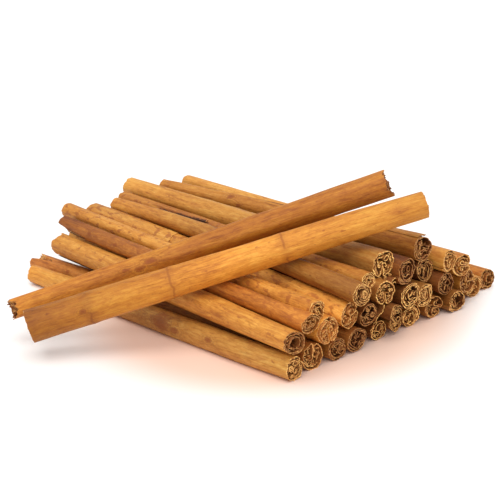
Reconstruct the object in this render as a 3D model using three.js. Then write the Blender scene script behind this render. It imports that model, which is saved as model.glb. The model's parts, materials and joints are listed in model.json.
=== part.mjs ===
// A heap of cinnamon quills: strips of bark rolled up along their length, cut to one length, piled
// in rows with their ends flush, and two more quills leaning across the near side of the heap.
//
// Millimetres, +Z up. The quills of the heap run along X, with the flush ends at +X. Y runs across
// the heap. The origin is under the middle of the heap's box, on the surface it lies on.
import * as THREE from 'three';

// ---- Driving dimensions ----
const QUILL_LENGTH = 127;         // a quill is cut to five inches
const GAP = 0.3;                  // air between two quills that lie on each other
const FLAT = 0.12;                // depth of the flat on which a quill of the bottom row lies
const STATION = 60;               // a quill's place is given this far before and behind the middle
const CHECKED_STATIONS = [-60, -45, -30, -15, 0, 15, 30, 45, 60];   // where it clears the others
const LEANING_STEPS = Array.from({ length: 41 }, (_, i) => i / 40);  // the same along a leaning quill
const BARK_COLOURS = { tan: '#c98f4e', honey: '#b97a3a', brown: '#9a6132' };

// ---- The quills ----
// thick: across the roll. front, back: place across the heap (Y) at the front and back station.
// end: X of the flush end. longer: what the length differs from the cut length, where it does.
// narrows: its thickness at the back end as a part of that at the flush end, where it is thinner.
// roll: how the bark is rolled. seam: where the roll's outer edge lies, in degrees around the
// quill seen from its front end, from +Y towards +Z. tone: the bark's colour.
const ROWS = {
  bottom: [
    { thick: 8.0, front: -49.5, back: -54.3, end: 63.5, longer: -1.7, narrows: 0.82,
      roll: 'double', seam: 30, tone: 'tan' },
    { thick: 8.2, front: -40.1, back: -45.9, end: 61.5, longer: 6, narrows: 0.85,
      roll: 'double', seam: 80, tone: 'brown' },
    { thick: 7.1, front: -29.7, back: -30.8, end: 62.0, roll: 'tight', seam: 20, tone: 'honey' },
    { thick: 8.7, front: -21.5, back: -22.1, end: 62.5, roll: 'tight', seam: 100, tone: 'honey' },
    { thick: 6.7, front: -9.6, back: -9.6, end: 60.4, roll: 'loose', seam: 110, tone: 'brown' },
    { thick: 5.6, front: -3.2, back: -3.2, end: 61.5, roll: 'tight', seam: 110, tone: 'tan' },
    { thick: 7.8, front: 5.4, back: 5.2, end: 60.5, roll: 'tight', seam: 150, tone: 'tan' },
    { thick: 7.7, front: 15.9, back: 16.5, end: 61.0, roll: 'double', seam: 330, tone: 'honey' },
    { thick: 7.5, front: 25.1, back: 25.6, end: 63.0, roll: 'open', seam: 190, tone: 'tan' },
    { thick: 7.4, front: 39.5, back: 39.5, end: 58.5, roll: 'tight', seam: 20, tone: 'tan' },
    { thick: 7.4, front: 48.4, back: 48.4, end: 57.0, roll: 'loose', seam: 100, tone: 'honey' },
  ],
  second: [
    { thick: 8.3, front: -49.5, back: -44.9, end: 64.0, longer: -4.4,
      roll: 'open', seam: 235, tone: 'honey' },
    { thick: 9.1, front: -33.6, back: -32.6, end: 62.0, roll: 'double', seam: 280, tone: 'honey' },
    { thick: 7.9, front: -24.0, back: -27.7, end: 61.5, longer: -4.5,
      roll: 'double', seam: 15, tone: 'tan' },
    { thick: 7.4, front: -16.0, back: -14.5, end: 62.0, roll: 'loose', seam: 150, tone: 'honey' },
    { thick: 5.5, front: -6.4, back: -7.5, end: 65.0, roll: 'loose', seam: 20, tone: 'tan' },
    { thick: 8.3, front: 2.6, back: 0.9, end: 62.5, roll: 'tight', seam: 60, tone: 'honey' },
    { thick: 7.2, front: 10.7, back: 10.9, end: 62.0, roll: 'tight', seam: 200, tone: 'tan' },
    { thick: 7.8, front: 21.0, back: 21.5, end: 61.5, roll: 'loose', seam: 100, tone: 'brown' },
    { thick: 7.5, front: 33.1, back: 33.1, end: 60.5, roll: 'double', seam: 0, tone: 'honey' },
  ],
  third: [
    { thick: 5.9, front: -43.0, back: -40.7, end: 63.5, longer: -2.5,
      roll: 'loose', seam: 5, tone: 'brown' },
    { thick: 5.5, front: -37.2, back: -34.5, end: 61.0, longer: 1.5,
      roll: 'double', seam: 250, tone: 'tan' },
    { thick: 7.1, front: -23.1, back: -20.7, end: 66.0, longer: -4.5, narrows: 0.76,
      roll: 'loose', seam: 75, tone: 'honey' },
    { thick: 7.6, front: -8.3, back: -9.5, end: 62.0, roll: 'double', seam: 265, tone: 'tan' },
    { thick: 8.0, front: 1.5, back: 1.2, end: 62.0, roll: 'loose', seam: 190, tone: 'brown' },
    { thick: 7.4, front: 14.3, back: 15.3, end: 58.5, roll: 'tight', seam: 90, tone: 'brown' },
    { thick: 7.6, front: 29.0, back: 29.0, end: 61.5, roll: 'double', seam: 345, tone: 'honey' },
  ],
  top: [
    { thick: 5.7, front: -16.5, back: -13.0, end: 62.5, longer: -1.5, narrows: 0.88,
      roll: 'tight', seam: 300, tone: 'honey' },
    { thick: 8.2, front: -6.1, back: -6.1, end: 59.0, longer: -1, narrows: 0.88,
      roll: 'double', seam: 262, tone: 'tan' },
    { thick: 8.3, front: 12.3, back: 9.5, end: 59.0, longer: -2, narrows: 0.8,
      roll: 'loose', seam: 95, tone: 'tan' },
    { thick: 7.0, front: 22.0, back: 21.3, end: 62.0, longer: 2.5, narrows: 0.82,
      roll: 'tight', seam: 220, tone: 'tan' },
  ],
};

// The two quills that lean across the heap: where the low and the high end are, X and Y, how much
// higher the high end is, and the thickness at both.
const LEANING = [
  { low: [-21.3, -90.0], high: [43.9, 12.9], rise: 31.5, thick: [7.0, 9.8],
    roll: 'loose', seam: 290, tone: 'honey' },
  { low: [-6.4, -93.4], high: [62.2, 9.0], rise: 29.6, thick: [10.8, 8.3],
    roll: 'double', seam: 300, tone: 'tan' },
];

// ---- How the bark is rolled, as parts of the quill's radius ----
const BARK = 0.2;                 // thickness of the bark
const AIR = 0.09;                 // air between two turns, and between the two edges of a double roll
const EDGE_BEND = 0.16;           // radius at which the edges of a double roll turn in at the seam
const SEAM_VARIES = 0.1;          // how far that seam lies to one side of the middle, at most
const EDGE_DEPTH = 1.05;          // how far the edges then run straight across the roll
const INNER_BEND = 0.12;          // radius of the bend at the end of that, and what it turns, in degrees
const INNER_TURN = 110;
const LAST_TURN = 45;             // how far the edge then follows the bark round it, in degrees
const TURNS = { open: 1.25, loose: 1.6, tight: 2.1 };
const ROUND_UNTIL = 200;          // the outermost turn of a single roll stays round this far, in degrees
const OUTER_STEP = 26;            // degrees between two points of the outermost turn
const INNER_STEP = 40;            // the same, further in

// ---- Uneven ends ----
const OFF_SQUARE = 0.12;          // slope of a cut end
const RECESS = 1.6;               // how far the innermost bark lies back from the cut end
const SECTIONS = 4;               // sections that a quill's surface runs through, its ends included

const { degToRad, radToDeg, lerp, smoothstep, seededRandom } = THREE.MathUtils;
const CENTRE = new THREE.Vector2();

/** The point at an angle, in degrees, and a distance from the middle of the section. */
function polar(angle, radius) {
  return new THREE.Vector2(radius, 0).rotateAround(CENTRE, degToRad(angle));
}

/** The line of bark rolled from one edge: round at first, then a spiral under its own outer edge. */
function singleLine(turns) {
  const pitch = BARK + AIR;
  const last = turns * 360;
  const line = [];
  for (let angle = 0; angle < last; angle += angle < 360 ? OUTER_STEP : INNER_STEP) {
    const inwards = angle < 360 ? smoothstep(angle, ROUND_UNTIL, 360) : angle / 360;
    line.push(polar(angle, 1 - BARK / 2 - pitch * inwards));
  }
  line.push(polar(last, 1 - BARK / 2 - pitch * turns));
  return line;
}

/** One half of a double roll, for a seam towards +Y: from the back around to the seam and in. */
function halfLine(aside) {
  const radius = 1 - BARK / 2;
  const from = (BARK + AIR) / 2 + EDGE_BEND + aside;
  const short = radToDeg(Math.asin(from / (radius - EDGE_BEND)));
  const inner = radius - BARK - AIR;
  const bends = [
    { radius, turn: 180 - short, steps: Math.round((180 - short) / OUTER_STEP) },
    { radius: EDGE_BEND, turn: 90 + short, steps: 3 },
    { ahead: EDGE_DEPTH * radius, steps: 1 },
    { radius: INNER_BEND, turn: INNER_TURN, steps: 2 },
    { radius: inner, turn: LAST_TURN, steps: 2 },
  ];
  const point = new THREE.Vector2(0, -radius);
  const line = [point.clone()];
  let heading = 0;
  for (const bend of bends) {
    const turn = (bend.turn ?? 0) / bend.steps;
    for (let i = 0; i < bend.steps; i += 1) {
      if (bend.ahead) {
        point.add(polar(heading, bend.ahead));
      } else {
        const bendCentre = point.clone().add(polar(heading + 90, bend.radius));
        point.rotateAround(bendCentre, degToRad(turn));
      }
      heading += turn;
      line.push(point.clone());
    }
  }
  return line;
}

/** The line of bark rolled in from both edges, which meet at the seam and run across the roll. */
function doubleLine(aside) {
  const near = halfLine(aside);
  const far = halfLine(-aside).slice(1);
  const mirrored = far.map((point) => new THREE.Vector2(-point.x, point.y));
  return [...mirrored.reverse(), ...near].map((point) => point.rotateAround(CENTRE, -Math.PI / 2));
}

/** The outline of bark of even thickness along a line: out along one face and back by the other. */
function barkOutline(line) {
  const across = line.map((point, i) => {
    const before = line[Math.max(i - 1, 0)];
    const after = line[Math.min(i + 1, line.length - 1)];
    const along = after.clone().sub(before).setLength(BARK / 2);
    return new THREE.Vector2(along.y, -along.x);
  });
  const outer = line.map((point, i) => point.clone().add(across[i]));
  const inner = line.map((point, i) => point.clone().sub(across[i]));
  return [...outer, ...inner.reverse()];
}

/** A quill's section seen from its front end, Y to the right and Z up, for a radius of 1. */
function sectionOf(quill, seed) {
  const aside = SEAM_VARIES * (2 * seededRandom(seed) - 1);
  const line = quill.roll === 'double' ? doubleLine(aside) : singleLine(TURNS[quill.roll]);
  return barkOutline(line).map((point) => point.rotateAround(CENTRE, degToRad(quill.seam)));
}

/** The solid of a quill along X, from -length / 2 to length / 2, with its middle raised by the bow. */
function quillGeometry({ section, length, radii, bow, flat, seed }) {
  const positions = [];
  for (let i = 0; i < SECTIONS; i += 1) {
    const along = i / (SECTIONS - 1);
    const side = 2 * along - 1;
    const radius = lerp(radii[0], radii[1], along);
    const cut = polar(360 * seededRandom(seed + i), OFF_SQUARE);
    for (const point of section) {
      const place = point.clone().multiplyScalar(radius);
      const uneven = Math.abs(side) === 1 ? cut.dot(place) - side * RECESS * (1 - point.length()) : 0;
      const height = Math.max(place.y, flat - radius) + bow * (1 - side ** 2);
      positions.push(side * length / 2 + uneven, place.x, height);
    }
  }
  const count = section.length;
  const index = [];
  for (let i = 0; i < SECTIONS - 1; i += 1) {
    for (let j = 0; j < count; j += 1) {
      const here = i * count + j;
      const beside = i * count + (j + 1) % count;
      index.push(here, beside, here + count, beside, beside + count, here + count);
    }
  }
  const front = (SECTIONS - 1) * count;
  for (const [a, b, c] of THREE.ShapeUtils.triangulateShape(section, [])) {
    index.push(a, c, b, front + a, front + b, front + c);
  }
  const geometry = new THREE.BufferGeometry();
  geometry.setAttribute('position', new THREE.Float32BufferAttribute(positions, 3));
  geometry.setIndex(index);
  geometry.computeVertexNormals();
  return geometry;
}

/** A quill as a mesh between the middles of its two ends. */
function quillMesh(name, quill, { back, front, bow = 0, radii, flat = 0, seed }) {
  const geometry = quillGeometry({
    section: sectionOf(quill, seed), length: back.distanceTo(front), radii, bow, flat, seed,
  });
  const material = new THREE.MeshStandardMaterial({
    color: BARK_COLOURS[quill.tone], roughness: 0.75, metalness: 0,
  });
  const mesh = new THREE.Mesh(geometry, material);
  const direction = front.clone().sub(back).normalize();
  mesh.name = name;
  mesh.position.lerpVectors(back, front, 0.5);
  mesh.quaternion.setFromUnitVectors(new THREE.Vector3(1, 0, 0), direction);
  return mesh;
}

/** Where the middle of a quill of the heap is across the heap, at a place along it. */
function acrossAt(quill, x) {
  return lerp(quill.back, quill.front, (x + STATION) / (2 * STATION));
}

/** How high it is there, on a curve through its heights behind, in the middle and before. */
function heightAt(quill, x) {
  const [behind, middle, before] = quill.heights;
  const u = x / STATION;
  return middle + (before - behind) / 2 * u + ((before + behind) / 2 - middle) * u ** 2;
}

/** How high a round of this radius lies, lowered at x and y onto the quills already placed. */
function restHeight(x, y, radius, placed) {
  const heights = placed.map((other) => {
    const apart = other.thick / 2 + radius + GAP;
    const sideways = y - acrossAt(other, x);
    return Math.abs(sideways) < apart ? heightAt(other, x) + Math.sqrt(apart ** 2 - sideways ** 2) : 0;
  });
  return Math.max(radius - FLAT, ...heights);
}

/** Lowers a quill onto those already placed: it rests on them at both ends and clears them between. */
function settle(quill, placed) {
  const radius = quill.thick / 2;
  const rest = (x) => restHeight(x, acrossAt(quill, x), radius, placed);
  const behind = rest(-STATION);
  const before = rest(STATION);
  const settled = { ...quill, heights: [behind, Math.max(rest(0), (behind + before) / 2), before] };
  const lift = Math.max(...CHECKED_STATIONS.map((x) => rest(x) - heightAt(settled, x)));
  settled.heights = settled.heights.map((height) => height + lift);
  return settled;
}

/** The rows of the heap, each quill lowered onto the ones before it. */
function heapOfQuills(placed) {
  const heap = new THREE.Group();
  for (const [row, quills] of Object.entries(ROWS)) {
    const group = new THREE.Group();
    quills.forEach((quill, i) => {
      const settled = settle(quill, placed);
      const length = QUILL_LENGTH + (quill.longer ?? 0);
      const ends = [quill.end - length, quill.end];
      const [back, front] = ends.map((x) => new THREE.Vector3(x, acrossAt(quill, x), heightAt(settled, x)));
      const bow = heightAt(settled, (ends[0] + ends[1]) / 2) - (back.z + front.z) / 2;
      const radius = quill.thick / 2;
      const thinner = radius * (1 - (quill.narrows ?? 1));
      back.z -= thinner;
      const radii = [radius - thinner, radius];
      const flat = row === 'bottom' ? FLAT : 0;
      const seed = placed.length + 1;
      group.add(quillMesh(`${row}_quill_${i + 1}`, quill, { back, front, bow, radii, flat, seed }));
      placed.push(settled);
    });
    heap.add(group);
  }
  return heap;
}

/** The quills that lean across the heap, lowered onto it at their own slope. */
function leaningQuills(placed) {
  const group = new THREE.Group();
  LEANING.forEach((quill, i) => {
    const radii = quill.thick.map((thick) => thick / 2);
    const height = Math.max(...LEANING_STEPS.map((along) => {
      const x = lerp(quill.low[0], quill.high[0], along);
      const y = lerp(quill.low[1], quill.high[1], along);
      return restHeight(x, y, lerp(radii[0], radii[1], along), placed) - quill.rise * along;
    }));
    const back = new THREE.Vector3(...quill.low, height);
    const front = new THREE.Vector3(...quill.high, height + quill.rise);
    const seed = placed.length + i + 1;
    group.add(quillMesh(`leaning_quill_${i + 1}`, quill, { back, front, radii, seed }));
  });
  return group;
}

const placed = [];
const pile = new THREE.Group();
pile.add(heapOfQuills(placed), leaningQuills(placed));
const box = new THREE.Box3().setFromObject(pile, true);
const middle = box.getCenter(new THREE.Vector3());
pile.position.set(-middle.x, -middle.y, -box.min.z);

const group = new THREE.Group();
group.add(pile);
export default group;
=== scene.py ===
"""Looks of a heap of cinnamon quills: every quill is rebuilt in detail around its CAD node.

Each quill is a strip of bark rolled from one edge or from both and filled with thinner bark. Its cut
ends are uneven, and it has fibres, knots and scars. Its axis, thickness and ends are worked out from
its CAD node. Lengths are in mm, and those in a quill's section in parts of its radius.
"""
import json
import math

import bpy
import numpy as np
from mathutils import Matrix, Vector


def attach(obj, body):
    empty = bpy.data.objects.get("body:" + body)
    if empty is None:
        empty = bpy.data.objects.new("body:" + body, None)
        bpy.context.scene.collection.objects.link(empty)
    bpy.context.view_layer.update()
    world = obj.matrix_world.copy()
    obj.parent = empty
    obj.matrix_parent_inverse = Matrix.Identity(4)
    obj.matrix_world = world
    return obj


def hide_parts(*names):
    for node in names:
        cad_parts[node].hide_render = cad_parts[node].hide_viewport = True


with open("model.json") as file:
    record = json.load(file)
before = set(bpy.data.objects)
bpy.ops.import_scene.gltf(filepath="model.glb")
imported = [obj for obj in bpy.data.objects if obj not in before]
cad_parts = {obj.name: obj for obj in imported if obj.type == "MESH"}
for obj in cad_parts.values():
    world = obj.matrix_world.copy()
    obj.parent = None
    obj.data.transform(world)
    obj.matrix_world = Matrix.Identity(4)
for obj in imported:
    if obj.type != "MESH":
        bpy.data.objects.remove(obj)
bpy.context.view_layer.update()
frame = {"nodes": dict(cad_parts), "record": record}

MM = 0.001

# ---- Camera, as the photograph was taken: its turns are in degrees ----
IMAGE_PX = 500
SENSOR_MM = 36.0
FOCAL_PX = 1368.4
CAMERA_AT_MM = (328.14, -279.60, 165.78)
CAMERA_YAW, CAMERA_PITCH, CAMERA_ROLL = 47.902, 19.003, -1.643
CLIP_NEAR, CLIP_FAR = 0.01, 20    # metres

# ---- Light and floor ----
WORLD = 0.74                  # strength of the white all round
# strength, angle across in degrees and where from: the key light from above, a fill from the front
SUNS = ((1.88, 60, (0.16, -0.28, 1.0)), (0.6, 60, (0.9, -0.5, 0.5)))
FLOOR_HALF = 4.0              # metres from the middle of the floor to its edges
FLOOR_ROUGHNESS, FLOOR_SPECULAR = 0.32, 0.7
# FLOOR_FAR is the floor's own pale colour; FLOOR_PAINTED_SHADE is painted warm shade near the heap
FLOOR_FAR, FLOOR_PAINTED_SHADE = (0.97, 0.95, 0.93, 1), (0.90, 0.65, 0.53, 1)
# the floor has warm painted shade in an oval pool near the heap, as if lit by light off the bark:
# its middle and half widths in metres, and where its rim begins and ends, as parts of those
SHADE_POOL_MIDDLE, SHADE_POOL_SIZE = (0.025, 0.005, 0), (0.060, 0.062, 1)
SHADE_POOL_RIM = (0.78, 1.16)

# ---- The roll of the outer bark, as parts of the quill's radius ----
BARK = 0.082                  # thickness of the outer bark
AIR = 0.034                   # air between two of its turns
TURNS = {"open": 1.2, "loose": 1.55, "tight": 2.1}    # of a single roll
ROUND_UNTIL = 200             # the outermost turn of a single roll stays round this far, in degrees
OUTER_STEP = 8                # degrees between two points of the outermost turn
INNER_STEP = 14               # the same, further in
SEAM_BEND = 0.2               # radius at which the edges of a double roll turn in
SEAM_ASIDE = 0.08             # how far the seam lies beside the middle, at most
EDGE_DEPTH = (0.35, 0.75)     # how far the edges then run straight, from least to most
EDGE_CURL = (0.16, 0.24)      # radius at which they curl up, from least to most
PATCH_BARK = 0.075            # thickness of an outer strip
PLAIN_END = (1.06, 1.02, 0, 0, 12)    # how a roll spreads at its front end, where LOOKS has no end

# ---- The thin bark inside, as parts of the quill's radius ----
THIN_BARK = 0.06              # thickness of the thin bark
THIN_AIR = 0.022              # air beside it
CURL_STEP = 26                # degrees between two points of a curl
CURL_OVAL = 0.24              # how much longer than round a curl is
LEAST_CURL = 0.15             # no curl is smaller
LAYER_STEP = 0.085            # length of a step of a layer
LAYER_STEPS = (6, 34)         # steps in a layer: from the first to just under the second
LAYER_TURNS = np.linspace(-48, 48, 13)    # by how much it can turn at a step, in degrees
TURN_COST, CHANCE_COST = 0.0011, 0.012    # of a step: for each degree of turn, and the most by chance
LEAST_ROOM, START_ROOM = 0.72, 0.9    # part of the wanted room that a layer needs, and at its start
MOST_LAYERS = 90
CORE_SHRINK = 0.09            # how much narrower the inside is away from the cut ends
CORE_ZONE = (1.0, 8.0)        # mm from a cut end between which it gets so narrow

# ---- Sections and cut ends, in mm ----
CAD_SECTIONS = 4              # sections of a CAD quill, its two ends included
END_ZONE = 12                 # a CAD node's points this near its end belong to its end section
END_STATIONS = (0, 0.12, 0.5, 1.2, 2.4, 4.0)    # distances of sections from a cut end
STATION = 2.2                 # spacing of the sections between them
THIN_STATIONS = (0, 0.12, 4.0)    # the same as the end stations, for the thin bark
THIN_MIDDLES = 3              # sections between them, in the thin bark
JAG = 0.4                     # how uneven a cut end of the outer bark is
PATCH_JAG, THIN_JAG, LOOSE_JAG = 0.35, 0.3, 0.2    # the same for other bark
JAG_FADE = 6                  # how far from the end the unevenness fades
TORN_FADE = 1.7               # how much further per mm that is torn off
TORN_MIDDLE = 0.35            # part of a tear's width that is torn to the full depth
CUT_FACE = 0.06               # points nearer than this to a cut end are on its face
# PAINTED_SHADE_DEPTH: the painted shade inside the roll is darkest this far from a cut end
PAINTED_SHADE_DEPTH = 8.0                    # distance from a cut end at which the inside is darkest

# ---- Relief of the bark, in mm ----
SWELLS = ((0.06, 1.0, 22), (0.1, 2.4, 30), (0.07, 3.0, 6))    # height, and size around and along
SWELLS_DOWN = 0.06            # by how much the swells lie lower than the plain surface
WARP = 0.09                   # how far the section is pushed out of shape, as part of its radius
RING_RISE, RING_WIDTH, RING_WAVES = 0.18, 1.1, 0.9    # of a scar: height, width and how far it waves
KNOT_RISE, KNOT_DIP = 0.12, 0.1   # of the knot and the dip in its middle, as parts of the knot's size
KNOT_LONGER = 1.6             # how much longer than wide a knot is in its relief
KNOT_LONGER_SEEN = 1.7        # the same in its colours

# ---- How each quill looks ----
# roll, seam: as in the CAD, with the seam in degrees around the quill seen from its front end, from +Y
# (0) over the top (90) to the near side (150 faces the camera). All angles below run the same way.
# largest, curls: radius of the largest curl inside, and how many there are at most.
# tint: brightness, partly the bark's own and partly painted shade where a quill lies in shadow,
# in crevices and under the leaning quills, with painted light where one lies in full light.
# warm, pale: how much redder and how much paler. Three values are those at the back end, in the
# middle and at the front end.
# spots: share of dark specks. face: brightness of the cut edges and of the bark inside, partly their
# own and partly painted shade where an end lies in shadow. jag: how uneven they are.
# end: how much wider and taller the roll is at its front end, how far that end lies aside and up
# (mm), and over what length (mm).
# holes: rounds left open inside (x, y, radius).
# knots: (place, degrees, size in mm). rings: places of the scars that run around the quill. Places
# are parts of its length, from its back end (0) to its front end (1).
# torn: (end, degrees, half width in degrees, depth in mm) of bark missing from an end (0 back, 1 front).
# patches: outer strips (from, to place, from, to degrees, how far the front edge stands off).
# slit: (from, to place, degrees) of a crack along the bark.
# flaps: loose strips (place, corners in the section). strays: loose curls (x, y, radius, place). Both
# lie between that place and the front end.
LOOKS = {
    "bottom_quill_1": dict(
        roll="double", seam=30, largest=0.34, curls=2, tint_and_painted_shade=(1.16, 0.72, 1.0), warm=(0.9, 0.2, 0.2),
        pale=(0.1, 0.8, 0.9), spots=0.25, face=1.25, end=(0.9, 0.96, 0.35, 0, 16),
        knots=[(0.565, 150, 3.6), (0.62, 175, 1.4), (0.74, 160, 1.2)]),
    "bottom_quill_2": dict(
        roll="double", seam=80, largest=0.2, curls=1, tint_and_painted_shade=(1.25, 1.0, 0.8), spots=0.5, face=1.2,
        end=(1.12, 1.04, 0.2, 0, 12), knots=[(0.16, 150, 0.9)], torn=[(0, 100, 45, 9)]),
    "bottom_quill_3": dict(
        roll="tight", seam=20, largest=0.3, curls=1, tint_and_painted_shade=(0.8, 0.75, 0.6), face=0.62),
    "bottom_quill_4": dict(
        roll="tight", seam=100, largest=0.22, curls=1, tint_and_painted_shade=(0.8, 0.75, 0.5), face=0.52,
        end=(1.0, 1.0, 0, 0, 12)),
    "bottom_quill_5": dict(
        roll="loose", seam=110, largest=0.3, curls=1, tint_and_painted_shade=(0.78, 0.75, 0.5), face=1.35,
        holes=[(0.1, 0.2, 0.3)]),
    "bottom_quill_6": dict(
        roll="tight", seam=110, largest=0.5, curls=1, tint_and_painted_shade=(0.78, 0.7, 0.42), face=1.35,
        end=(1.05, 1.0, 0, 0, 12)),
    "bottom_quill_7": dict(
        roll="tight", seam=150, largest=0.24, curls=1, tint_and_painted_shade=(0.78, 0.75, 0.55), face=1.6),
    "bottom_quill_8": dict(
        roll="double", seam=330, largest=0.3, curls=2, tint_and_painted_shade=(0.85, 0.8, 0.6)),
    "bottom_quill_9": dict(
        roll="open", seam=190, largest=0.22, curls=2, tint_and_painted_shade=(0.8, 0.7, 0.45), face=1.05,
        holes=[(0.2, -0.1, 0.4)]),
    "bottom_quill_10": dict(
        roll="tight", seam=20, largest=0.6, curls=2, face=1.3, holes=[(0.3, 0.3, 0.16)]),
    "bottom_quill_11": dict(
        roll="loose", seam=100, largest=0.28, curls=1, face=0.78, holes=[(0, 0, 0.4)]),
    "second_quill_1": dict(
        roll="open", seam=256, largest=0.3, curls=0, tint_and_painted_shade=(1.08, 1.1, 1.2), warm=0.1, pale=0.5,
        spots=0.6, face=0.62, end=(0.98, 0.86, 0, -0.5, 32), holes=[(0.15, -0.05, 0.42)],
        torn=[(0, 110, 40, 1.6)]),
    "second_quill_2": dict(
        roll="double", seam=280, largest=0.2, curls=2, tint_and_painted_shade=(1.15, 1.2, 1.6), pale=0.4, spots=0.3,
        face=1.2, end=(0.94, 0.93, -0.1, -0.1, 16)),
    "second_quill_3": dict(
        roll="double", seam=15, largest=0.36, curls=1, tint_and_painted_shade=(0.88, 1.15, 1.45), warm=0.3, pale=0.3,
        spots=1.0, face=1.2, end=(1.1, 1.05, 0, 0, 12), holes=[(-0.1, 0.15, 0.13)],
        patches=[(0.0, 0.36, 60, 250, 0.0)]),
    "second_quill_4": dict(
        roll="loose", seam=150, largest=0.26, curls=2, tint_and_painted_shade=(0.62, 0.6, 0.32), face=0.7,
        holes=[(-0.5, 0.2, 0.25)]),
    "second_quill_5": dict(
        roll="loose", seam=20, largest=0.3, curls=1, tint_and_painted_shade=(0.62, 0.6, 0.32)),
    "second_quill_6": dict(
        roll="tight", seam=60, largest=0.2, curls=2, tint_and_painted_shade=(0.66, 0.6, 0.3), face=1.75,
        end=(1.18, 1.0, 0.3, 0, 12), holes=[(0.2, 0.45, 0.12)]),
    "second_quill_7": dict(
        roll="tight", seam=200, largest=0.62, curls=2, tint_and_painted_shade=(0.8, 0.75, 0.55), face=1.2,
        end=(1.15, 1.06, -0.4, 0, 12)),
    "second_quill_8": dict(
        roll="loose", seam=100, largest=0.34, curls=2, tint_and_painted_shade=(0.75, 0.7, 0.5), face=0.66,
        holes=[(0.35, 0.0, 0.2)]),
    "second_quill_9": dict(
        roll="double", seam=0, largest=0.24, curls=1, face=0.75),
    "third_quill_1": dict(
        roll="loose", seam=5, largest=0.22, curls=1, tint_and_painted_shade=(0.68, 1.0, 1.22), warm=1.2, spots=0.8,
        face=0.85, end=(1.42, 1.02, 0.9, -0.1, 10), knots=[(0.15, 150, 0.9), (0.27, 160, 1.0)],
        torn=[(0, 222, 62, 13)]),
    "third_quill_2": dict(
        roll="double", seam=250, largest=0.2, curls=1, tint_and_painted_shade=(0.95, 1.1, 1.15), warm=0.3, spots=0.9,
        face=1.3, end=(1.1, 1.42, -0.1, -0.3, 14)),
    "third_quill_3": dict(
        roll="loose", seam=75, largest=0.4, curls=1, tint_and_painted_shade=(1.22, 0.8, 0.6), warm=0.1, pale=0.6,
        spots=0.3, face=1.05, end=(1.2, 0.98, 0.1, 0.2, 12), holes=[(-0.2, 0.35, 0.14)]),
    "third_quill_4": dict(
        roll="double", seam=265, largest=0.3, curls=2, tint_and_painted_shade=(0.84, 0.8, 0.6), face=1.3,
        end=(1.2, 1.0, 0, 0, 12), holes=[(-0.3, 0.2, 0.12), (0.35, 0.3, 0.14)],
        flaps=[(0.92, (-0.1, -1.0), (-0.3, -1.5), (-0.8, -1.75), (-1.1, -2.1)),
               (0.94, (0.7, 0.6), (0.95, 1.0), (1.2, 0.95)),
               (0.94, (0.8, 0.45), (1.1, 0.7), (1.2, 0.5))]),
    "third_quill_5": dict(
        roll="loose", seam=190, largest=0.28, curls=1, tint_and_painted_shade=(0.74, 0.7, 0.5), face=0.64,
        end=(1.12, 1.05, -0.2, 0, 12)),
    "third_quill_6": dict(
        roll="tight", seam=90, largest=0.26, curls=1, tint_and_painted_shade=(0.6, 0.55, 0.3), face=0.75,
        end=(1.14, 1.14, 0.1, 0.3, 12)),
    "third_quill_7": dict(
        roll="double", seam=345, largest=0.2, curls=3, tint_and_painted_shade=1.05, face=1.1),
    "top_quill_1": dict(
        roll="tight", seam=300, largest=0.26, curls=1, tint_and_painted_shade=0.86, spots=0.8, face=1.5,
        patches=[(0.16, 0.4, 96, 134, 0.12)], slit=(0.2, 0.42, 138)),
    "top_quill_2": dict(
        roll="double", seam=262, largest=0.3, curls=1, tint_and_painted_shade=(1.12, 0.95, 0.66), warm=0.2, pale=0.4,
        face=1.5, end=(1.12, 1.0, 0, 0.1, 12), holes=[(-0.3, 0.4, 0.17)],
        strays=[(-0.25, -1.25, 0.3, 0.9), (0.25, -1.26, 0.26, 0.92), (0.58, -1.05, 0.2, 0.93)]),
    "top_quill_3": dict(
        roll="loose", seam=95, largest=0.26, curls=1, tint_and_painted_shade=(0.92, 0.82, 0.8), warm=0.5, face=0.68,
        holes=[(0.35, 0.55, 0.34)], knots=[(0.31, 125, 1.2), (0.35, 165, 0.9)],
        patches=[(0.82, 1.0, 68, 124, 0.015)],
        strays=[(0.12, 0.99, 0.085, 0.93), (0.33, 0.93, 0.08, 0.94)]),
    "top_quill_4": dict(
        roll="tight", seam=220, largest=0.2, curls=2, tint_and_painted_shade=1.1, pale=0.3, face=1.2),
    "leaning_quill_1": dict(
        roll="loose", seam=290, largest=0.26, curls=2, tint_and_painted_shade=(1.1, 0.86, 0.93), warm=(1.5, 2.1, 1.5),
        spots=0.35, face=0.6, jag=1.8, knots=[(0.365, 150, 1.6), (0.335, 172, 1.3), (0.30, 160, 1.0)],
        torn=[(0, 161, 75, 2.2), (1, 150, 60, 1.6)]),
    "leaning_quill_2": dict(
        roll="double", seam=300, largest=0.2, curls=3, tint_and_painted_shade=(0.52, 1.24, 0.9), warm=(3.4, 1.5, 1.9),
        spots=0.3, jag=0.5, knots=[(0.135, 168, 0.8)], rings=(0.15, 0.355, 0.64)),
}
KNOT_NAMES = ("knot_1", "knot_2", "knot_3")    # each with the girth, reach and size of a knot, in mm
MOST_RINGS = 3                # of a quill, as their reaches are the parts of one vector
FAR_AWAY = 9999.0             # a reach, in mm, at which nothing is


# ---- helpers
def smooth(x, low, high):
    """0 below low, 1 above high, and a smooth step between them."""
    t = np.clip((x - low) / (high - low), 0, 1)
    return t * t * (3 - 2 * t)


def hashed(ix, iy, seed):
    """A number from -1 to 1 for every point of a whole-number grid."""
    value = np.sin(ix * 127.1 + iy * 311.7 + seed * 74.7) * 43758.5453
    return 2 * (value - np.floor(value)) - 1


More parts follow.
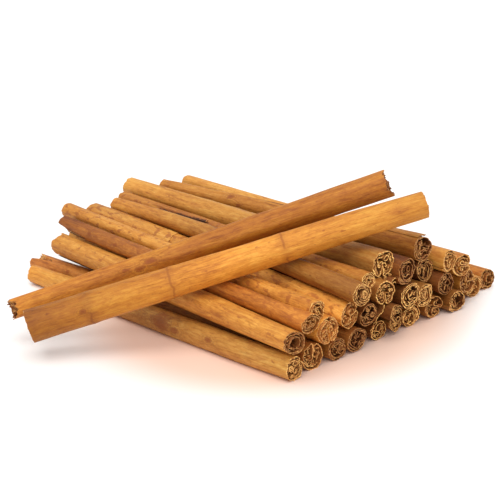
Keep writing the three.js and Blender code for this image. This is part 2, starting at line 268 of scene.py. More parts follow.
def noise(x, y, seed):
    """Smooth noise from -1 to 1 over a plane."""
    x, y = np.broadcast_arrays(np.asarray(x, float), np.asarray(y, float))
    ix, iy = np.floor(x), np.floor(y)
    fx, fy = smooth(x - ix, 0, 1), smooth(y - iy, 0, 1)
    near = hashed(ix, iy, seed) * (1 - fx) + hashed(ix + 1, iy, seed) * fx
    far = hashed(ix, iy + 1, seed) * (1 - fx) + hashed(ix + 1, iy + 1, seed) * fx
    return near * (1 - fy) + far * fy


def polar(degrees, radius):
    """The point at an angle and a distance from the middle."""
    angle = np.radians(degrees)
    return np.stack([np.cos(angle) * radius, np.sin(angle) * radius], -1)


def turned(points, degrees):
    """Points turned about the middle."""
    c, s = math.cos(math.radians(degrees)), math.sin(math.radians(degrees))
    return points @ np.array([[c, s], [-s, c]])


def between_angles(angle, other):
    """How many degrees lie between two directions, from 0 to 180."""
    return np.abs((angle - other + 180) % 360 - 180)


# ---- a quill's place, from its CAD node
def circle_round(points, steps=1200):
    """Middle and radius of the smallest circle round points in a plane."""
    middle = points.mean(0)
    for step in range(2, steps):
        far = points[np.argmax(((points - middle) ** 2).sum(1))]
        middle = middle + (far - middle) / step
    return middle, math.sqrt(((points - middle) ** 2).sum(1).max())


class Axis:
    """The axis of a CAD quill: its middle line, its thickness along it, and its cut ends, in mm."""

    def __init__(self, node):
        mesh = frame["nodes"][node].data
        points = np.zeros(len(mesh.vertices) * 3)
        mesh.vertices.foreach_get("co", points)
        points = points.reshape(-1, 3) / MM
        self.origin = points.mean(0)
        points = points - self.origin
        self.along, self.across, self.up = self.directions(points)
        reach = points @ self.along
        sections = np.stack([points @ self.across, points @ self.up], -1)
        limits = [reach.min() + END_ZONE, (reach.min() + reach.max()) / 2, reach.max() - END_ZONE]
        groups = np.digitize(reach, limits)
        where, middles, radii = [], [], []
        for group in range(CAD_SECTIONS):
            inside = groups == group
            middle, radius = circle_round(sections[inside])
            rim = np.linalg.norm(sections[inside] - middle, axis=1) > 0.9 * radius
            where.append(reach[inside][rim].mean())
            middles.append(middle)
            radii.append(radius)
        self.back, self.front = where[0], where[-1]
        self.length = self.front - self.back
        self.bend = np.polyfit(where, np.array(middles), 2)
        self.taper = np.polyfit(where, radii, 1)

    @staticmethod
    def directions(points):
        """The directions along the quill, across it and up, from the middles of its two ends."""
        along = np.linalg.svd(points, full_matrices=False)[2][0]
        along = along * np.sign(along[0])
        reach = points @ along
        back, front = reach < reach.min() + END_ZONE, reach > reach.max() - END_ZONE
        along = points[front].mean(0) - points[back].mean(0)
        along = along / np.linalg.norm(along)
        up = np.array([0, 0, 1.0]) - along[2] * along
        up = up / np.linalg.norm(up)
        across = np.cross(up, along)
        return along, across / np.linalg.norm(across), up

    def radius(self, reach):
        """The quill's radius at a place along it."""
        return self.taper[0] * reach + self.taper[1]

    def place(self, reach, section):
        """Points in the frame for places along the axis and places in the section."""
        reach = np.asarray(reach)[..., None]
        flat = section + self.bend[0] * reach ** 2 + self.bend[1] * reach + self.bend[2]
        return self.origin + self.along * reach + self.across * flat[..., :1] + self.up * flat[..., 1:]


# ---- lines of bark in the section
def single_line(turns):
    """Bark rolled from one edge: round at first, then a spiral under its own outer edge."""
    outermost = np.arange(0, 360, OUTER_STEP)
    further_in = np.arange(360, turns * 360 + INNER_STEP / 2, INNER_STEP)
    angles = np.concatenate([outermost, further_in])
    inwards = np.where(angles < 360, smooth(angles, ROUND_UNTIL, 360), angles / 360)
    return polar(angles, 1 - BARK / 2 - (BARK + AIR) * inwards)


def follow(point, heading, bends):
    """The line on from a point through bends of (radius, degrees, steps) or (None, length, steps)."""
    line = [np.array(point, float)]
    for radius, turn, steps in bends:
        for _ in range(steps):
            here = line[-1]
            if radius is None:
                line.append(here + polar(heading, turn / steps))
                continue
            pivot = here + polar(heading + 90, radius)
            line.append(pivot + turned((here - pivot)[None], turn / steps)[0])
            heading += turn / steps
    return np.array(line)


def half_line(aside, depth, rng):
    """One half of a double roll, for a seam towards +Y: around to the seam, in, and curled up."""
    radius = 1 - BARK / 2
    start = (BARK + AIR) / 2 + SEAM_BEND + aside
    short = math.degrees(math.asin(start / (radius - SEAM_BEND)))
    curled = rng.uniform(*EDGE_CURL)
    return follow((0, -radius), 0, [
        (radius, 180 - short, round((180 - short) / OUTER_STEP)),
        (SEAM_BEND, 90 + short, 7),
        (None, depth, 2),
        (curled, 170, 6),
        (curled * 0.7, 150, 5),
    ])


def double_line(rng):
    """Bark rolled from both edges, which meet at the seam and curl up inside."""
    aside = rng.uniform(-SEAM_ASIDE, SEAM_ASIDE)
    near = half_line(aside, rng.uniform(*EDGE_DEPTH), rng)
    far = half_line(-aside, rng.uniform(*EDGE_DEPTH), rng)[1:]
    far[:, 0] *= -1
    return turned(np.concatenate([far[::-1], near]), -90)


def densify(line, spacing):
    """Points along a line, about this far apart."""
    pieces = [line[:1]]
    for a, b in zip(line[:-1], line[1:]):
        count = max(1, int(np.linalg.norm(b - a) / spacing))
        pieces.append(a + (b - a) * (np.arange(1, count + 1) / count)[:, None])
    return np.concatenate(pieces)


def rounded(corners):
    """A smooth line near a few corners, which are cut off three times over."""
    line = np.array(corners, float)
    for _ in range(3):
        near, far = 0.75 * line[:-1] + 0.25 * line[1:], 0.25 * line[:-1] + 0.75 * line[1:]
        line = np.concatenate([line[:1], np.stack([near, far], 1).reshape(-1, 2), line[-1:]])
    return line


def curl(middle, radius, rng):
    """A small roll of thin bark of this outer radius."""
    pitch = THIN_BARK + THIN_AIR
    turns = max(0.7, (radius - THIN_BARK) / pitch - rng.uniform(0.1, 0.5))
    angles = np.arange(0, turns * 360 + CURL_STEP, CURL_STEP)
    radii = np.maximum(radius - THIN_BARK / 2 - pitch * angles / 360, 0.02)
    radii = radii * (1 + CURL_OVAL * np.cos(2 * np.radians(angles) + rng.uniform(0, 6.28)))
    line = polar(angles * rng.choice([-1, 1]) + rng.uniform(0, 360), radii * 0.88)
    return line + middle


class Space:
    """What of the section is taken: points with the room that each keeps round itself."""

    def __init__(self, line, room):
        self.points = densify(line, 0.05)
        self.rooms = np.full(len(self.points), room)

    def add(self, points, room):
        self.points = np.concatenate([self.points, points])
        self.rooms = np.concatenate([self.rooms, np.full(len(points), room)])

    def free(self, points):
        """How far each point is from what is taken, and the direction from its nearest neighbour."""
        apart = points[:, None] - self.points[None]
        gaps = np.linalg.norm(apart, axis=2) - self.rooms
        nearest = gaps.argmin(1)
        room = gaps[np.arange(len(points)), nearest]
        room = np.minimum(room, 1 - BARK - np.linalg.norm(points, axis=1))
        return room, apart[np.arange(len(points)), nearest]


def tries_inside(count, rng):
    """Points scattered evenly within the outer bark."""
    return polar(rng.uniform(0, 360, count), np.sqrt(rng.uniform(0, 1, count)) * (1 - BARK))


def layer(space, start, heading, longest, rng):
    """A strip of thin bark that lies along what is beside it, as far as there is room."""
    wanted = THIN_BARK / 2 + THIN_AIR
    line = [start]
    behind = []
    for _ in range(longest):
        ahead = line[-1] + polar(heading + LAYER_TURNS, LAYER_STEP)
        room, _ = space.free(ahead)
        cost = np.abs(room - wanted) + TURN_COST * np.abs(LAYER_TURNS)
        cost += rng.uniform(0, CHANCE_COST, len(LAYER_TURNS))
        cost[room < LEAST_ROOM * wanted] = np.inf
        best = int(np.argmin(cost))
        if np.isinf(cost[best]):
            break
        heading += LAYER_TURNS[best]
        line.append(ahead[best])
        behind.append(ahead[best])
        # the last three points still leave room, because the next ones start close to them
        if len(behind) > 3:
            space.add(np.array([behind.pop(0)]), THIN_BARK / 2)
    if len(line) > 1:
        space.add(densify(np.array(line), 0.04), THIN_BARK / 2)
    return np.array(line)


def inner_curls(space, look, rng):
    """Lines of curls, each placed where one of its size just fits."""
    for _ in range(look["curls"]):
        tries = tries_inside(500, rng)
        room = space.free(tries)[0] - 0.01
        largest = look["largest"] * rng.uniform(0.7, 1.15)
        best = int(np.argmax(np.where(room >= largest, 2 * largest - room, room)))
        radius = min(room[best], largest)
        if radius < LEAST_CURL:
            break
        yield curl(tries[best], radius, rng)
        rim = polar(np.arange(0, 360, 10), radius * 0.93)
        core = polar(np.arange(0, 360, 30), radius / 2)
        space.add(tries[best] + np.concatenate([rim, core, [[0, 0]]]), 0.02)


def inner_layers(space, rng):
    """Lines of layers, each started close to what is there until no place is left."""
    for _ in range(MOST_LAYERS):
        tries = tries_inside(300, rng)
        room, apart = space.free(tries)
        fits = np.where(room > START_ROOM * (THIN_BARK / 2 + THIN_AIR), room, np.inf)
        best = int(np.argmin(fits))
        if np.isinf(fits[best]):
            break
        beside = math.degrees(math.atan2(apart[best][1], apart[best][0]))
        heading = beside + 90 * rng.choice([-1, 1])
        line = layer(space, tries[best], heading, int(rng.integers(*LAYER_STEPS)), rng)
        if len(line) > 2:
            yield line
        else:
            space.add(tries[best:best + 1], THIN_BARK / 2)


def filling(outer, look, rng):
    """The lines of the thin bark that fills what the outer bark leaves open: curls, then layers."""
    space = Space(outer, BARK / 2)
    for x, y, radius in look.get("holes", ()):
        space.add(turned(np.array([[x, y]]), -look["seam"]), radius)
    return [*inner_curls(space, look, rng), *inner_layers(space, rng)]


# ---- bark as a mesh
def tube_faces(first, rows, columns):
    """Quads between sections that are closed lines, and across the first and the last of them."""
    index = first + np.arange(rows * columns).reshape(rows, columns)
    beside = np.roll(index, -1, axis=1)
    walls = np.stack([index[:-1], beside[:-1], beside[1:], index[1:]], -1).reshape(-1, 4)
    caps = []
    for row, flip in ((index[0], True), (index[-1], False)):
        one, other = row[:columns // 2], row[::-1][:columns // 2]
        cap = np.stack([one[:-1], one[1:], other[1:], other[:-1]], -1)
        caps.append(cap[:, ::-1] if flip else cap)
    return [walls, *caps]


def outline(line, thick, seed):
    """The outline of bark along a line: its points, its outward normals and how far along they are."""
    along = np.gradient(line, axis=0)
    along /= np.linalg.norm(along, axis=1)[:, None] + 1e-9
    normal = np.stack([along[:, 1], -along[:, 0]], -1)
    steps = np.linalg.norm(np.diff(line, axis=0), axis=1)
    run = np.concatenate([[0], np.cumsum(steps)])
    taper = np.clip(np.minimum(run, run[-1] - run) / thick, 0, 1)
    width = thick / 2 * (0.35 + 0.65 * np.sqrt(taper)) * (1 + 0.22 * noise(run * 4, 0.5, seed + 5))
    loop = np.concatenate([line + normal * width[:, None], (line - normal * width[:, None])[::-1]])
    return loop, np.concatenate([normal, -normal[::-1]]), np.concatenate([run, run[::-1]])


class Quill:
    """Collects the sheets of bark of one quill."""

    def __init__(self, axis, look, seed):
        self.axis, self.look, self.seed = axis, look, seed
        self.points, self.quads, self.values, self.count = [], [], {}, 0
        self.rng = rng = np.random.default_rng(1000 + seed)
        self.phase = rng.uniform(0, 6.28, 4)
        self.oval = rng.uniform(0.015, 0.045)
        self.three_sided = rng.uniform(0.01, 0.025)
        self.slopes = [polar(rng.uniform(0, 360), rng.uniform(0.02, 0.12)) for _ in range(2)]

    def reach_at(self, place):
        """Where a place along the quill, from 0 to 1, is on its axis."""
        return self.axis.back + place * self.axis.length

    def warped(self, section, reach):
        """The section pushed about smoothly, which keeps the turns of bark beside each other."""
        seed = self.seed + 300
        drift = reach / 70
        x, y = section[..., 0] * 1.5, section[..., 1] * 1.5
        inwards = 1 - 0.38 * smooth(np.linalg.norm(section, axis=-1), 0.75, 1.0)
        push = np.stack([noise(x + drift, y + 7, seed), noise(x - 9, y + drift, seed + 1)], -1)
        fine = np.stack([noise(3 * x + 5, 3 * y, seed + 2), noise(3 * x, 3 * y + 5, seed + 3)], -1)
        return section + WARP * (push + 0.3 * fine) * inwards[..., None]

    def spread(self, section, reach):
        """The section widened, made taller and shifted near the front end of the quill."""
        wide, tall, aside, up, zone = self.look.get("end", PLAIN_END)
        share = np.exp(-(np.maximum(self.axis.front - reach, 0) / zone) ** 2)[..., None]
        return section * (1 + (np.array([wide, tall]) - 1) * share) + np.array([aside, up]) * share

    def roundness(self, section, reach):
        """How much wider than round the quill is, by direction and place along it."""
        angle = np.arctan2(section[..., 1], section[..., 0])
        size = np.linalg.norm(section, axis=-1)
        drift = noise(reach / 40, 0.5, self.seed) * 0.9
        wider = (self.oval * np.cos(2 * angle + self.phase[0] + drift)
                 + self.three_sided * np.cos(3 * angle + self.phase[1] - drift)
                 + 0.012 * noise(reach / 14, 3.5, self.seed) - 0.012)
        return 1 + wider * np.clip(size, 0, 1)

    def torn_off(self, end, angle, girth, seed):
        """How much bark is missing from an end, in mm."""
        depth = np.zeros(len(angle))
        for torn_end, degrees, wide, deep in self.look.get("torn", ()):
            if torn_end == end:
                share = smooth(-between_angles(angle, degrees), -wide, -TORN_MIDDLE * wide)
                depth = depth + deep * share * (1 + 0.25 * noise(girth / 0.8, end, seed))
        return depth

    def relief(self, loop, girth, girths, where, seed):
        """How high the surface of the bark is: swells, knots, and the scars that run around it."""
        height = sum(rise * noise(girths / around, where / along, seed + 1 + i)
                     for i, (rise, around, along) in enumerate(SWELLS)) - SWELLS_DOWN
        for at_girth, at_reach, size in self.knots(loop, girth):
            away = ((girths - at_girth) / size) ** 2 + ((where - at_reach) / (KNOT_LONGER * size)) ** 2
            height = height + KNOT_RISE * size * np.exp(-away) - KNOT_DIP * size * np.exp(-away * 8)
        for place in self.look.get("rings", ()):
            ring = self.reach_at(place) + RING_WAVES * noise(girths / 2.5, 3.5, seed + place)
            height = height + RING_RISE * np.exp(-((where - ring) / RING_WIDTH) ** 2)
        return height

    def sheet(self, line, thick, jag, ends=(0, 0), outer=False, span=(0, 1), stands_off=0):
        """Adds bark of even thickness along a line of the section, between its two uneven ends.

        ends: how far each is set back, in mm. span: the part of the quill's length that the bark covers.
        stands_off: how much further out its front end lies.
        """
        axis, seed = self.axis, self.seed + 40 * len(self.points)
        whole = span == (0, 1)
        loop, outwards, run = outline(line, thick, seed)
        girth = run * axis.radius(0)
        angle = np.degrees(np.arctan2(loop[:, 1], loop[:, 0]))
        is_inner = np.arange(len(loop)) >= len(line)

        start, stop = span[0] * axis.length, span[1] * axis.length
        if outer:
            distances = np.array(END_STATIONS)
            middle = np.arange(start + distances[-1] + STATION, stop - distances[-1], STATION)
        else:
            distances = np.array(THIN_STATIONS)
            middle = np.linspace(start, stop, THIN_MIDDLES + 2)[1:-1]
        reach = np.concatenate([start + distances, middle, stop - distances[::-1]])
        near_end = np.minimum(reach - start, stop - reach)
        where = axis.back + reach[:, None]
        for end, sign, from_end in ((0, 1, reach - start), (1, -1, stop - reach)):
            fine, coarse = noise(girth / 0.45, 0.5 + end, seed), noise(girth / 1.7, 5.5 + end, seed)
            uneven = jag * (fine + 0.6 * coarse)
            depth = self.torn_off(end, angle, girth, seed) if whole else np.zeros(len(loop))
            shift = (loop * axis.radius(0)) @ self.slopes[end] + sign * (ends[end] + depth) + uneven
            fade = np.clip(1 - from_end[:, None] / (JAG_FADE + TORN_FADE * depth), 0, 1)
            where = where + fade * shift

        lifted = stands_off * ((reach - start) / (stop - start))[:, None, None] ** 2
        section = loop * (1 + lifted)
        if whole and not outer:
            section = section * (1 - CORE_SHRINK * smooth(near_end[:, None, None], *CORE_ZONE))
        scale = self.roundness(section, where) * axis.radius(where)
        flat = self.spread(self.warped(section, where) * scale[..., None], where)
        girths = np.broadcast_to(girth, where.shape)
        if outer:
            height = self.relief(loop, girth, girths, where, seed) * ~is_inner
            flat = flat + outwards * height[..., None]
        self.points.append(axis.place(where, flat).reshape(-1, 3))
        self.quads += tube_faces(self.count, *where.shape)
        self.count += where.size

        near_end = near_end[:, None]
        number, vector = where.shape, (*where.shape, 3)
        self.record("grain", np.stack([girths, where, np.full(number, float(seed))], -1), vector)
        self.record("shade", self.shade(where), vector)
        self.record("face", self.face(), vector)
        self.record("rings", self.ring_reaches(), vector)
        self.record("inside", is_inner if outer else 1, number)
        self.record("cut", near_end < CUT_FACE, number)
        # deep: how far a point lies from a cut end, which sets the painted shade inside the roll
        self.record("deep", np.clip(near_end / PAINTED_SHADE_DEPTH, 0, 1), number)
        self.record("crack", self.crack(angle, where) if outer else 0, number)
        self.record("spots", self.look.get("spots", 0.1), number)
        knots = [*self.knots(loop, girth)] if outer else []
        knots += [(0, FAR_AWAY, 1)] * (len(KNOT_NAMES) - len(knots))
        for name, knot in zip(KNOT_NAMES, knots):
            self.record(name, knot, vector)

    def record(self, name, value, shape):
        """Keeps an attribute of a sheet's points, which the material reads."""
        value = np.broadcast_to(np.asarray(value, float), shape)
        self.values.setdefault(name, []).append(value.reshape(-1, *shape[2:]))

    def varied(self, name, plain, where):
        """A value of the quill's looks along it, from those at its back, middle and front."""
        place = (where - self.axis.back) / self.axis.length
        return np.interp(place, (0, 0.5, 1), np.broadcast_to(self.look.get(name, plain), 3))

    def shade(self, where):
        """The red, green and blue by which the bark's colour is multiplied along the quill: its own
        tone, and painted shade where the quill lies in shadow.
        """
        light = self.varied("tint_and_painted_shade", 1.0, where)
        warm = self.varied("warm", 0, where)
        pale = self.varied("pale", 0, where)
        # darker quills are made redder, as painted shade on the bark is
        redder = np.minimum(light, 1) ** 0.2
        green = light * redder * (1 - 0.03 * warm + 0.2 * pale)
        blue = light * redder * (1 - 0.2 * warm + 0.5 * pale)
        return np.stack([light, green, blue], -1)

    def face(self):
        """The same for the cut edges and the bark inside: partly their own brightness and partly painted
        shade on ends in shadow, which are redder the darker they are.
        """
        light = self.look.get("face", 1.0)
        return [light ** 0.75, light, light ** 1.1]

    def knots(self, loop, girth):
        """The knots of the quill: how far round and along the bark each is, and its size."""
        outside = loop[:len(loop) // 2]
        for place, degrees, size in self.look.get("knots", ()):
            nearest = np.argmax(outside @ polar(degrees, 1))
            yield girth[nearest], self.reach_at(place), size

    def ring_reaches(self):
        """Where along the quill its scars are."""
        reaches = [self.reach_at(place) for place in self.look.get("rings", ())]
        return reaches + [FAR_AWAY] * (MOST_RINGS - len(reaches))

    def crack(self, angle, where):
        """How near a point is to the crack along the bark, from 0 to 1."""
        if "slit" not in self.look:
            return np.zeros(where.shape)
        first, last, degrees = self.look["slit"]
        place = (where - self.axis.back) / self.axis.length
        degrees = degrees - 60 * (place - first) + 9 * noise(where / 5, 0.5, self.seed)
        wide = 26 + 12 * noise(where / 3.5, 2.5, self.seed)
        faded = smooth(place, first - 0.03, first + 0.03) * smooth(-place, -last - 0.03, -last + 0.03)
        return np.clip(1 - between_angles(angle, degrees) / wide, 0, 1) * faded

    def loose(self, line, place):
        """Adds loose thin bark between a place and the front end."""
        ends = (0, self.rng.uniform(-0.3, 0.5))
        self.sheet(line, THIN_BARK, LOOSE_JAG, ends, span=(place, 1))

    def build(self):
        """Adds all the bark of the quill."""
        look, rng = self.look, self.rng
        line = double_line(rng) if look["roll"] == "double" else single_line(TURNS[look["roll"]])
        self.sheet(turned(line, look["seam"]), BARK, JAG * look.get("jag", 1), outer=True)
        for first, last, low, high, stands_off in look.get("patches", ()):
            arc = polar(np.arange(low, high, OUTER_STEP), 1 + PATCH_BARK / 2)
            self.sheet(arc, PATCH_BARK, PATCH_JAG, outer=True, span=(first, last), stands_off=stands_off)
        for place, *corners in look.get("flaps", ()):
            self.loose(rounded(corners), place)
        for x, y, radius, place in look.get("strays", ()):
            self.loose(curl(np.array([x, y]), radius, rng), place)
        for inner in filling(line, look, rng):
            # most ends lie a little back, and a few of them a lot
            back = np.maximum(rng.uniform(-0.3, 0.9, 2), rng.uniform(-0.5, 0, 2))
            ends = back * rng.choice([0.5, 1, 1.5, 3.5], 2)
            self.sheet(turned(inner, look["seam"]), THIN_BARK, THIN_JAG, ends)

    def piece(self, name, material):
        """The quill as an object of the scene."""
        points = np.concatenate(self.points) * MM
        quads = np.concatenate(self.quads)
        mesh = bpy.data.meshes.new(name)
        mesh.vertices.add(len(points))
        mesh.vertices.foreach_set("co", points.ravel())
        mesh.loops.add(quads.size)
        mesh.loops.foreach_set("vertex_index", quads.ravel())
        mesh.polygons.add(len(quads))
        mesh.polygons.foreach_set("loop_start", np.arange(0, quads.size, 4))
        mesh.polygons.foreach_set("loop_total", np.full(len(quads), 4))
        mesh.update(calc_edges=True)
        mesh.validate()
        mesh.polygons.foreach_set("use_smooth", np.ones(len(mesh.polygons), bool))
        mesh.set_sharp_from_angle(angle=math.radians(50))
        for key, parts in self.values.items():
            value = np.concatenate(parts)
            kind, slot = ("FLOAT_VECTOR", "vector") if value.ndim == 2 else ("FLOAT", "value")
            mesh.attributes.new(key, kind, "POINT").data.foreach_set(slot, value.ravel())
        mesh.materials.append(material)
        piece = bpy.data.objects.new(name, mesh)
        bpy.context.scene.collection.objects.link(piece)
        return piece


# ---- shader nodes
class Number:
    """A number that the shader works out. Arithmetic with it adds the nodes that do it."""

    def __init__(self, graph, socket):
        self.graph, self.socket = graph, socket

    def __add__(self, other):
        return self.graph.math("ADD", self, other)

    def __sub__(self, other):
        return self.graph.math("SUBTRACT", self, other)

    def __rsub__(self, other):
        return self.graph.math("SUBTRACT", other, self)

    def __mul__(self, other):
        return self.graph.math("MULTIPLY", self, other)

    def __truediv__(self, other):
        return self.graph.math("DIVIDE", self, other)

    __radd__ = __add__
    __rmul__ = __mul__


class Graph:
    """Short ways to add and join the shader nodes of a material."""

    def __init__(self, material):
        material.use_nodes = True
        self.tree = material.node_tree
        self.tree.nodes.clear()

    def node(self, kind, inputs, **settings):
        """The outputs of a new node, whose inputs get fixed values or are joined to others."""
        made = self.tree.nodes.new("ShaderNode" + kind)
        for key, value in settings.items():
            setattr(made, key, value)
        for key, value in inputs.items():
            value = value.socket if isinstance(value, Number) else value
            if isinstance(value, bpy.types.NodeSocket):
                self.tree.links.new(value, made.inputs[key])
            else:
                made.inputs[key].default_value = value
        return made.outputs

    def math(self, operation, *values):
        return Number(self, self.node("Math", dict(enumerate(values)), operation=operation)[0])

    def on_vectors(self, operation, *vectors):
        return self.node("VectorMath", dict(enumerate(vectors)), operation=operation)

    def least(self, first, *others):
        for other in others:
            first = self.math("MINIMUM", first, other)
        return first

    def vector(self, name):
        """An attribute of the points, as a vector."""
        return self.node("Attribute", {}, attribute_name=name)["Vector"]

    def number(self, name):
        """An attribute of the points, as a number."""
        return Number(self, self.node("Attribute", {}, attribute_name=name)["Fac"])

    def split(self, vector):
        return [Number(self, part) for part in self.node("SeparateXYZ", {0: vector})[:3]]

    def noise(self, vector, around, along, detail=2.0, roughness=0.5):
        """Noise with so many waves per mm around the quill and along it."""
        place = self.on_vectors("MULTIPLY", vector, (around, along, 1.0))[0]
        inputs = {"Vector": place, "Scale": 1.0, "Detail": detail, "Roughness": roughness}
        return Number(self, self.node("TexNoise", inputs)["Fac"])

    def between(self, value, low, high):
        """0 at low, 1 at high, and a smooth step between them."""
        inputs = {"Value": value, "From Min": low, "From Max": high}
        made = self.node("MapRange", inputs, interpolation_type="SMOOTHSTEP")
        return Number(self, made["Result"])

    def mix(self, share, a, b, blend="MIX"):
        """Colour a with this share of colour b."""
        return self.node("Mix", {0: share, 6: a, 7: b}, data_type="RGBA", blend_type=blend)[2]

    def surface(self, inputs):
        """Makes this the surface of the material."""
        shader = self.node("BsdfPrincipled", inputs)[0]
        self.node("OutputMaterial", {"Surface": shader})


# ---- the look of bark
def srgb(r, g, b):
    """A colour as seen on screen, 0 to 255, as the shader's own numbers."""
    def linear(value):
        value /= 255
        return value / 12.92 if value <= 0.04045 else ((value + 0.055) / 1.055) ** 2.4
    return (linear(r), linear(g), linear(b), 1.0)


# the bark's light, middle and dark colour
TONES = {
    "bark_tan": (srgb(214, 154, 71), srgb(197, 130, 51), srgb(168, 101, 36)),
    "bark_honey": (srgb(206, 141, 58), srgb(185, 116, 41), srgb(154, 86, 28)),
    "bark_brown": (srgb(196, 128, 54), srgb(170, 102, 39), srgb(134, 73, 26)),
}
STAIN, SPECK = srgb(160, 88, 34), srgb(152, 84, 34)
KNOT_RING, KNOT_CORE = srgb(150, 88, 34), srgb(146, 74, 26)
SCAR, BESIDE_SCAR = srgb(146, 82, 30), srgb(156, 92, 36)
CRACK, BESIDE_CRACK = srgb(50, 27, 14), srgb(140, 72, 30)
# INNER_PAINTED_SHADE is painted shade deep inside the roll, away from the cut ends
INNER_DARK, INNER_LIGHT, INNER_PAINTED_SHADE = srgb(132, 76, 32), srgb(174, 108, 50), srgb(112, 60, 26)
EDGE_DARK, EDGE_LIGHT = srgb(168, 100, 42), srgb(255, 202, 118)
EDGE_OLD, EDGE_PATCH = srgb(158, 92, 38), srgb(150, 84, 36)
BARK_SPECULAR = 0.3
# by what grooves and grit multiply the colour
GROOVE, GRIT = (0.5, 0.36, 0.25, 1), (0.62, 0.5, 0.38, 1)


def knots_around(g, grain, ragged):
    """How many knot sizes away the nearest knot is, and how far the knots push the fibres aside."""
    girth, reach, _ = g.split(grain)
    distances, pushes = [], []
    for name in KNOT_NAMES:
        at_girth, at_reach, size = g.split(g.vector(name))
        aside = (girth - at_girth) / size
        ahead = (reach - at_reach) / (size * KNOT_LONGER_SEEN)
        away = g.math("SQRT", aside * aside + ahead * ahead) + (ragged - 0.5) * 1.3
        distances.append(away)
        pushes.append(g.between(away, 3.2, 0.2) * size * g.math("SIGN", aside))
    return g.least(*distances), sum(pushes)


def plain_bark(g, grain, waved, fibres, grooves, tones):
    """Bark without marks: fibres, streaks and blotches, with grooves, grit, stains and specks."""
    light, middle, dark = tones
    tone = (0.26 * g.between(g.noise(waved, 0.16, 0.04), 0.32, 0.68)
            + 0.22 * g.between(g.noise(waved, 0.8, 0.03, 3.0, 0.55), 0.32, 0.68)
            + 0.28 * g.between(fibres, 0.34, 0.66)
            + 0.24 * g.between(g.noise(waved, 0.9, 0.3, 4.0, 0.6), 0.32, 0.68))
    colour = g.mix(g.between(tone, 0.12, 0.5), dark, middle)
    colour = g.mix(g.between(tone, 0.45, 0.85), colour, light)
    colour = g.mix(0.42 * grooves, colour, GROOVE, "MULTIPLY")
    grit = g.between(g.noise(waved, 2.4, 0.9, 3.0, 0.65), 0.5, 0.72)
    colour = g.mix(0.34 * grit, colour, GRIT, "MULTIPLY")
    stains = g.between(g.noise(grain, 0.24, 0.07, 3.0, 0.6), 0.54, 0.72)
    colour = g.mix(0.42 * stains, colour, STAIN)
    level = 0.72 - 0.17 * g.number("spots")
    specks = g.between(g.noise(grain, 0.6, 0.34) - level, -0.02, 0.08)
    return g.mix(0.75 * specks, colour, SPECK)


def scarred(g, grain, colour):
    """The colour with the scars that run around the quill, broken and wavy."""
    reach = g.split(grain)[1]
    waves = (g.noise(grain, 0.22, 0.0, 3.0, 0.6) - 0.5) * 5.0
    scar = g.least(*(g.math("ABSOLUTE", reach - at + waves) for at in g.split(g.vector("rings"))))
    shown = g.between(g.noise(grain, 0.2, 0.1), 0.34, 0.5)
    colour = g.mix(g.between(scar, 0.6, 0.1) * shown * 0.75, colour, SCAR)
    return g.mix(0.32 * g.between(scar, 2.6, 0.4), colour, BESIDE_SCAR)


def cracked(g, ragged, colour):
    """The colour with the crack along the quill, dark in its middle."""
    crack = g.number("crack")
    colour = g.mix(0.5 * g.between(crack, 0.0, 0.5), colour, BESIDE_CRACK)
    return g.mix(0.85 * g.between(crack + (ragged - 0.5) * 1.6, 0.55, 0.68), colour, CRACK)


def inner_bark(g, pores):
    """The bark inside the roll, with painted shade that darkens it the deeper it lies from a cut end."""
    colour = g.mix(g.between(pores, 0.35, 0.65), INNER_DARK, INNER_LIGHT)
    # painted shade, darker deeper in the roll
    colour = g.mix(g.number("deep"), colour, INNER_PAINTED_SHADE)
    # face: the bark's own brightness, with painted shade on ends that lie in shadow
    return g.on_vectors("MULTIPLY", colour, g.vector("face"))[0]


def cut_edge(g, grain, pores):
    """The cut edges: pale, with pores and darker patches, and some sheets darker than others."""
    sheet = g.split(grain)[2]
    own = Number(g, g.node("TexWhiteNoise", {"W": sheet}, noise_dimensions="1D")["Value"])
    colour = g.mix(g.between(pores, 0.38, 0.58), EDGE_DARK, EDGE_LIGHT)
    colour = g.mix(0.5 * own, colour, EDGE_OLD)
    patches = g.between(g.noise(grain, 0.9, 0.8, 2.0, 0.6), 0.45, 0.6)
    colour = g.mix(0.65 * patches, colour, EDGE_PATCH)
    # face: the edges' own brightness, with painted shade on ends that lie in shadow
    return g.on_vectors("MULTIPLY", colour, g.vector("face"))[0]


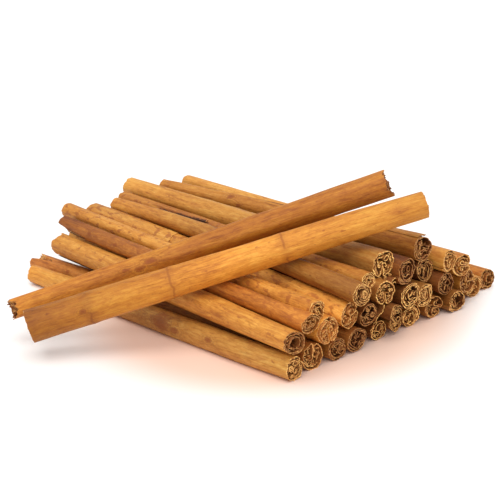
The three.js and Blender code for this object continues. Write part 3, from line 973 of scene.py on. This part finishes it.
def bark_material(name, tones):
    """Dry bark: fibres along the quill, blotches, specks, knots, a dark inside with painted shade deep
    in the roll, and pale cut edges.
    """
    material = bpy.data.materials.new(name)
    g = Graph(material)
    grain = g.vector("grain")
    ragged = g.noise(grain, 1.3, 0.7, 3.0, 0.6)
    knot, push = knots_around(g, grain, ragged)
    aside = 2.2 * g.noise(grain, 0.16, 0.05) + 0.55 * push
    waved = g.on_vectors("ADD", grain, g.node("CombineXYZ", {"X": aside})[0])[0]
    fibres = g.noise(waved, 3.0, 0.18, 4.0, 0.7)
    grooves = g.between(g.noise(waved, 4.5, 0.1), 0.6, 0.74)
    pores = g.noise(grain, 3.5, 1.6, 2.0, 0.6)

    colour = plain_bark(g, grain, waved, fibres, grooves, tones)
    growth = g.between(g.math("SINE", knot * 11.0), 0.2, 1.0) * g.between(knot, 2.6, 1.0)
    colour = g.mix(0.42 * growth, colour, KNOT_RING)
    colour = g.mix(0.8 * g.between(knot, 1.0, 0.35), colour, KNOT_CORE)
    colour = scarred(g, grain, colour)
    colour = cracked(g, ragged, colour)
    colour = g.mix(g.number("inside"), colour, inner_bark(g, pores))
    # the quill's own tone, with painted shade where it lies in shadow
    colour = g.on_vectors("MULTIPLY", colour, g.vector("shade"))[0]
    colour = g.mix(g.number("cut"), colour, cut_edge(g, grain, pores))

    height = 0.8 * fibres + 0.3 * pores - 0.5 * grooves - 0.4 * growth
    bump = g.node("Bump", {"Strength": 0.8, "Distance": 0.2 * MM, "Height": height})[0]
    g.surface({"Base Color": colour, "Roughness": 0.46 + 0.2 * pores, "Normal": bump,
               "Specular IOR Level": BARK_SPECULAR})
    return material


# ---- floor, light and camera
def add_floor():
    """A pale, slightly glossy floor, with warm painted shade near the heap."""
    mesh = bpy.data.meshes.new("floor")
    corners = [(x * FLOOR_HALF, y * FLOOR_HALF, 0) for x, y in ((-1, -1), (1, -1), (1, 1), (-1, 1))]
    mesh.from_pydata(corners, [], [(0, 1, 2, 3)])
    floor = bpy.data.objects.new("floor", mesh)
    bpy.context.scene.collection.objects.link(floor)
    material = bpy.data.materials.new("floor")
    g = Graph(material)
    place = g.node("NewGeometry", {})["Position"]
    place = g.on_vectors("SUBTRACT", place, SHADE_POOL_MIDDLE)[0]
    place = g.on_vectors("DIVIDE", place, SHADE_POOL_SIZE)[0]
    away = g.on_vectors("LENGTH", place)["Value"]
    # painted warm shade near the heap, fading out to the pale floor
    colour = g.mix(g.between(away, *SHADE_POOL_RIM), FLOOR_PAINTED_SHADE, FLOOR_FAR)
    g.surface({"Base Color": colour, "Roughness": FLOOR_ROUGHNESS, "Specular IOR Level": FLOOR_SPECULAR})
    mesh.materials.append(material)


def add_light(scene):
    """Soft light: white all round and the suns."""
    world = bpy.data.worlds.new("soft white")
    world.use_nodes = True
    background = world.node_tree.nodes["Background"]
    background.inputs[0].default_value = (1, 1, 1, 1)
    background.inputs[1].default_value = WORLD
    scene.world = world
    for strength, across, sun_from in SUNS:
        sun_data = bpy.data.lights.new("sun", "SUN")
        sun_data.energy = strength
        sun_data.angle = math.radians(across)
        sun = bpy.data.objects.new("sun", sun_data)
        sun.rotation_euler = Vector(sun_from).to_track_quat("Z", "Y").to_euler()
        scene.collection.objects.link(sun)


def add_camera(scene):
    """The camera, where the photograph was taken from."""
    yaw, pitch, roll = (math.radians(a) for a in (CAMERA_YAW, CAMERA_PITCH, CAMERA_ROLL))
    ahead = Vector((-math.sin(yaw) * math.cos(pitch), math.cos(yaw) * math.cos(pitch), -math.sin(pitch)))
    level = Vector((math.cos(yaw), math.sin(yaw), 0))
    upright = level.cross(ahead)
    right = level * math.cos(roll) + upright * math.sin(roll)
    up = upright * math.cos(roll) - level * math.sin(roll)
    data = bpy.data.cameras.new("camera")
    data.sensor_width = SENSOR_MM
    data.lens = FOCAL_PX / IMAGE_PX * SENSOR_MM
    data.clip_start = CLIP_NEAR
    data.clip_end = CLIP_FAR
    camera = bpy.data.objects.new("camera", data)
    matrix = Matrix((right, up, -ahead)).transposed().to_4x4()
    matrix.translation = Vector(CAMERA_AT_MM) * MM
    camera.matrix_world = matrix
    scene.collection.objects.link(camera)
    scene.camera = camera


# ---- the scene
scene = bpy.context.scene
scene.view_settings.view_transform = "Standard"
scene.view_settings.look = "None"

materials = {slot: bark_material(slot, tones) for slot, tones in TONES.items()}
slots = {part["node"]: part["material_slot"] for part in frame["record"]["subparts"]}
for seed, (node, look) in enumerate(LOOKS.items(), start=1):
    quill = Quill(Axis(node), look, seed)
    quill.build()
    piece = quill.piece(node + "_bark", materials[slots[node]])
    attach(piece, "root")
    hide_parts(node)

add_floor()
add_light(scene)
add_camera(scene)
